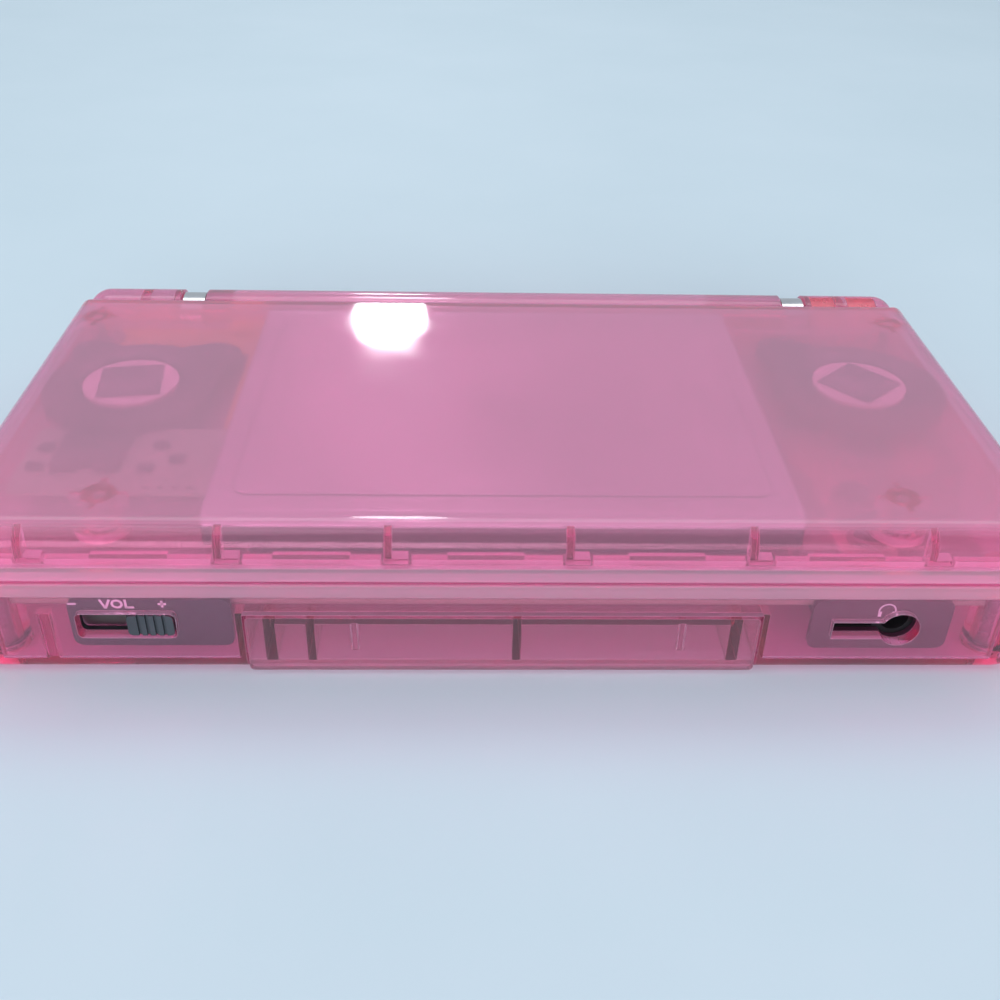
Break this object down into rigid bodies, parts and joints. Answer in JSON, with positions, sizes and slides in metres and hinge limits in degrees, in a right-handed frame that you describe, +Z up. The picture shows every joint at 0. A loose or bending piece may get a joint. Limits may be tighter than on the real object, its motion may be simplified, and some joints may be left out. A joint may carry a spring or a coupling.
{
  "type": "clamshell handheld game console",
  "caption": "Closed clamshell handheld game console with clear tinted shells, a barrel hinge, screens, direction pad, push buttons, shoulder triggers, sliders, stylus and card slots.",
  "frame": {"origin": "middle of the underside, on the surface that the rubber feet rest on", "axes": "+X to the player's right, along the hinge; +Y from the front edge towards the hinge; +Z up out of the lid"},
  "size_m": [0.133, 0.0738, 0.0215],
  "materials": {
    "clear_pink_plastic": "clear tinted, polished",
    "plug_rubber": "satin",
    "lens_plastic": "clear, polished",
    "touch_glass": "polished",
    "display_tray_metal": "satin sheet",
    "display_glass": "dark, polished",
    "speaker_metal": "satin",
    "gasket_rubber": "matt",
    "flex_board": "satin",
    "chip_resin": "matt",
    "ribbon_film": "satin film",
    "small_metal": "satin",
    "hinge_steel": "polished",
    "screw_steel": "polished",
    "circuit_board": "satin solder mask",
    "shield_metal": "satin sheet",
    "connector_plastic": "matt",
    "trim_plastic": "satin",
    "silicone": "matt",
    "battery_wrap": "film wrap",
    "light_guide": "frosted clear",
    "key_plastic": "satin",
    "trigger_plastic": "gloss",
    "knob_plastic": "satin",
    "stylus_plastic": "satin"
  },
  "bodies": {
    "base": {"bottom_case": "clear_pink_plastic", "face_case": "clear_pink_plastic", "battery_cover": "clear_pink_plastic", "battery": "battery_wrap", "battery_screw": "screw_steel", "main_board": "circuit_board", "board_chips": "chip_resin", "lower_display_frame": "display_tray_metal", "lower_display_panel": "display_glass", "touch_panel": "touch_glass", "dpad_membrane": "silicone", "action_membrane": "silicone", "card_slot_cage": "shield_metal", "card_connector": "connector_plastic", "cartridge_connector": "connector_plastic", "headphone_socket": "connector_plastic", "jack_plate": "trim_plastic", "volume_plate": "trim_plastic", "volume_switch": "small_metal", "charge_socket": "connector_plastic", "power_switch": "small_metal", "wireless_module": "shield_metal", "led_light_guides": "light_guide", "trigger_pins": "screw_steel", "trigger_springs": "screw_steel", "trigger_switches": "small_metal", "base_screws": "screw_steel", "rubber_feet": "plug_rubber", "hinge_pin": "hinge_steel"},
    "lid": {"lid_cover": "clear_pink_plastic", "lid_bezel": "clear_pink_plastic", "display_lens": "lens_plastic", "upper_display_frame": "display_tray_metal", "upper_display_panel": "display_glass", "left_speaker": "speaker_metal", "right_speaker": "speaker_metal", "left_speaker_gasket": "gasket_rubber", "right_speaker_gasket": "gasket_rubber", "upper_flex_board": "flex_board", "upper_flex_chips": "chip_resin", "display_ribbon": "ribbon_film", "microphone": "small_metal", "hinge_clutch": "hinge_steel", "lid_screws": "screw_steel", "lid_screw_plugs": "plug_rubber"},
    "dpad_pivot": {"dpad_pivot": "key_plastic"},
    "dpad": {"dpad": "key_plastic"},
    "button_a": {"button_a": "key_plastic"},
    "button_b": {"button_b": "key_plastic"},
    "button_x": {"button_x": "key_plastic"},
    "button_y": {"button_y": "key_plastic"},
    "start_button": {"start_button": "key_plastic"},
    "select_button": {"select_button": "key_plastic"},
    "left_trigger": {"left_trigger": "trigger_plastic"},
    "right_trigger": {"right_trigger": "trigger_plastic"},
    "power_slider": {"power_slider": "knob_plastic"},
    "volume_knob": {"volume_knob": "knob_plastic"},
    "stylus": {"stylus": "stylus_plastic"},
    "slot_cover": {"slot_cover": "clear_pink_plastic"}
  },
  "joints": [
    {"name": "lid_hinge", "type": "hinge", "parent": "base", "child": "lid", "pos_m": [0, 0.03205, 0.0153], "axis": [-1, 0, 0], "range_deg": [0, 165]},
    {"name": "dpad_left_right", "type": "hinge", "parent": "base", "child": "dpad_pivot", "pos_m": [-0.0515, 0.001, 0.01107], "axis": [0, 1, 0], "range_deg": [-2.5, 2.5], "stiffness_Nm_per_rad": 0.12},
    {"name": "dpad_up_down", "type": "hinge", "parent": "dpad_pivot", "child": "dpad", "pos_m": [-0.0515, 0.001, 0.01107], "axis": [1, 0, 0], "range_deg": [-2.5, 2.5], "stiffness_Nm_per_rad": 0.12},
    {"name": "button_a_press", "type": "slide", "parent": "base", "child": "button_a", "axis": [0, 0, -1], "range_m": [0, 0.0008], "stiffness_N_per_m": 700},
    {"name": "button_b_press", "type": "slide", "parent": "base", "child": "button_b", "axis": [0, 0, -1], "range_m": [0, 0.0008], "stiffness_N_per_m": 700},
    {"name": "button_x_press", "type": "slide", "parent": "base", "child": "button_x", "axis": [0, 0, -1], "range_m": [0, 0.0008], "stiffness_N_per_m": 700},
    {"name": "button_y_press", "type": "slide", "parent": "base", "child": "button_y", "axis": [0, 0, -1], "range_m": [0, 0.0008], "stiffness_N_per_m": 700},
    {"name": "start_press", "type": "slide", "parent": "base", "child": "start_button", "axis": [0, 0, -1], "range_m": [0, 0.0005], "stiffness_N_per_m": 900},
    {"name": "select_press", "type": "slide", "parent": "base", "child": "select_button", "axis": [0, 0, -1], "range_m": [0, 0.0005], "stiffness_N_per_m": 900},
    {"name": "left_trigger_press", "type": "hinge", "parent": "base", "child": "left_trigger", "pos_m": [-0.0489, 0.0347, 0.0061], "axis": [0, 0, 1], "range_deg": [0, 3.5], "stiffness_Nm_per_rad": 0.2},
    {"name": "right_trigger_press", "type": "hinge", "parent": "base", "child": "right_trigger", "pos_m": [0.0489, 0.0347, 0.0061], "axis": [0, 0, -1], "range_deg": [0, 3.5], "stiffness_Nm_per_rad": 0.2},
    {"name": "power_slide", "type": "slide", "parent": "base", "child": "power_slider", "axis": [0, 1, 0], "range_m": [0, 0.0025], "stiffness_N_per_m": 200},
    {"name": "volume_slide", "type": "slide", "parent": "base", "child": "volume_knob", "axis": [-1, 0, 0], "range_m": [0, 0.0057]},
    {"name": "stylus_slide", "type": "slide", "parent": "base", "child": "stylus", "axis": [1, 0, 0], "range_m": [0, 0.088]},
    {"name": "slot_cover_slide", "type": "slide", "parent": "base", "child": "slot_cover", "axis": [0, -1, 0], "range_m": [0, 0.028]}
  ]
}
